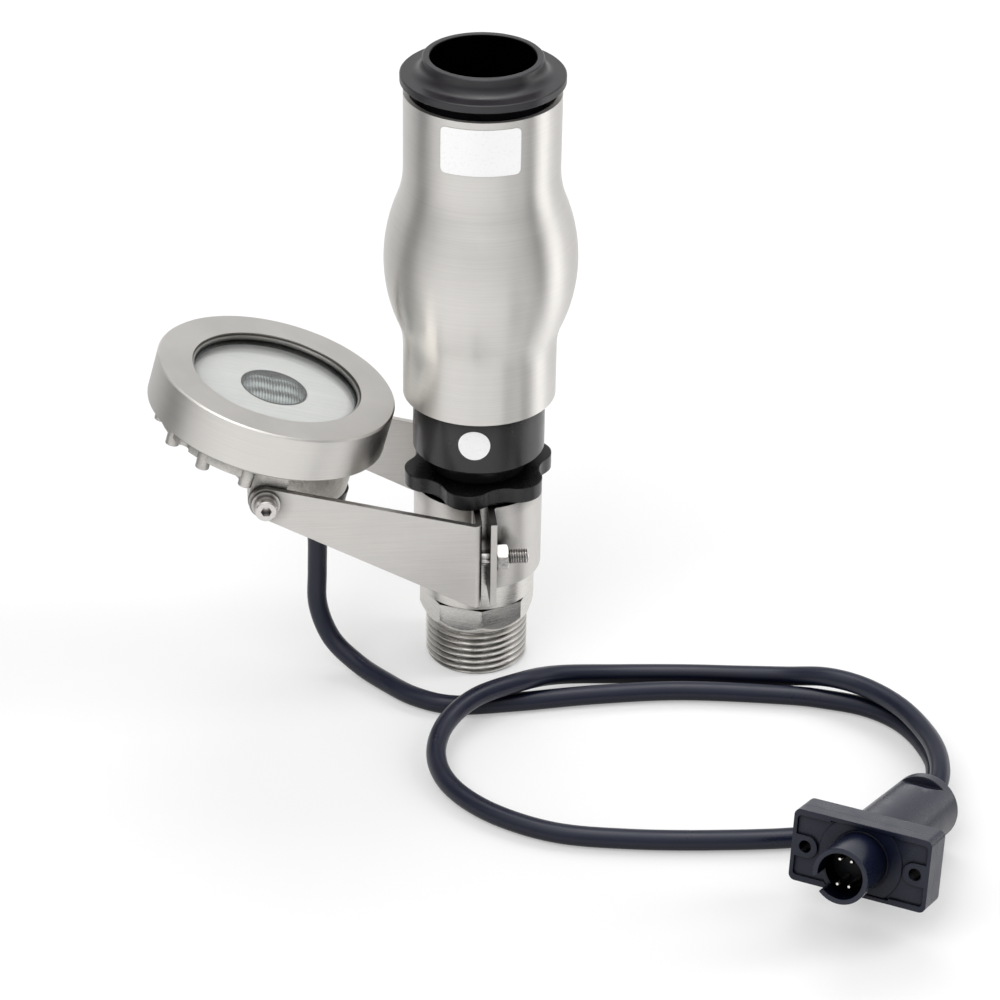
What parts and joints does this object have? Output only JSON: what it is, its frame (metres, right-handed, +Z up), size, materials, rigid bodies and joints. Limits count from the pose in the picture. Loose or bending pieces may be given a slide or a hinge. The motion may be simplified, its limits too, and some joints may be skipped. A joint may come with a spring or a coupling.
{
  "type": "underwater pond light with foam-jet fountain nozzle",
  "caption": "Stainless foam-jet fountain nozzle with a bellied jacket and a pipe-thread foot, and a tilting underwater spotlight on a clamped sheet fork with cable and keyed connector.",
  "frame": {"origin": "centre of the lower end of the inlet thread, on the axis of the nozzle", "axes": "+Z up along the nozzle axis toward the outlet; -X toward the lamp; -Y toward the connector and the viewer"},
  "size_m": [0.2449, 0.2119, 0.212],
  "materials": {
    "stainless": "satin brushed",
    "cast_steel": "cast and blasted",
    "bright_steel": "bright",
    "plate_steel": "fine brushed",
    "charcoal_plastic": "semi-gloss",
    "collar_plastic": "satin",
    "black_plastic": "semi-gloss",
    "seal_rubber": "matte",
    "glass": "clear",
    "optic": "ribbed translucent",
    "emitter": "matte",
    "board_white": "coated",
    "board_green": "satin",
    "cable_rubber": "satin",
    "plug_plastic": "matte moulded",
    "insert_plastic": "matte",
    "pin_metal": "bright"
  },
  "bodies": {
    "base": {"base_fitting": "stainless", "neck_seal": "seal_rubber", "nut_gasket": "seal_rubber"},
    "lock_nut": {"star_lock_nut": "black_plastic"},
    "nozzle": {"nozzle_sleeve": "collar_plastic", "jet_nozzle": "collar_plastic", "jet_seal": "seal_rubber", "jacket": "stainless", "jacket_seal": "seal_rubber", "outlet_tube": "charcoal_plastic"},
    "bracket": {"fork_bracket": "stainless", "clamp_strap": "stainless", "clamp_bolts": "bright_steel", "clamp_nuts": "bright_steel", "cable_drop": "cable_rubber", "cable_run": "cable_rubber", "plug_boot": "plug_plastic", "plug_flange": "plug_plastic", "plug_shroud": "plug_plastic", "plug_insert": "insert_plastic", "plug_pins": "pin_metal"},
    "lamp": {"bezel_ring": "stainless", "lens_glass": "glass", "lens_gasket": "seal_rubber", "reflector_plate": "plate_steel", "led_optic": "optic", "led_chips": "emitter", "led_board": "board_white", "driver_board": "board_green", "rear_housing": "cast_steel", "housing_seal": "seal_rubber", "housing_screws": "bright_steel", "pivot_screws": "bright_steel", "pivot_washers": "bright_steel", "cable_gland": "black_plastic", "gland_nut": "black_plastic", "cable_tail": "cable_rubber"}
  },
  "joints": [
    {"name": "lock_nut_turn", "type": "hinge", "parent": "base", "child": "lock_nut", "pos_m": [0, 0, 0.07], "axis": [0, 0, 1], "continuous": true},
    {"name": "nozzle_height", "type": "slide", "parent": "base", "child": "nozzle", "axis": [0, 0, 1], "range_m": [-0.005, 0.008]},
    {"name": "bracket_swivel", "type": "hinge", "parent": "base", "child": "bracket", "pos_m": [0, 0, 0.051], "axis": [0, 0, 1], "range_deg": [-170, 170]},
    {"name": "lamp_tilt", "type": "hinge", "parent": "bracket", "child": "lamp", "pos_m": [-0.0691, 0, 0.0774], "axis": [0, 1, 0], "range_deg": [-75, 15], "deforming": ["cable_drop"]}
  ]
}
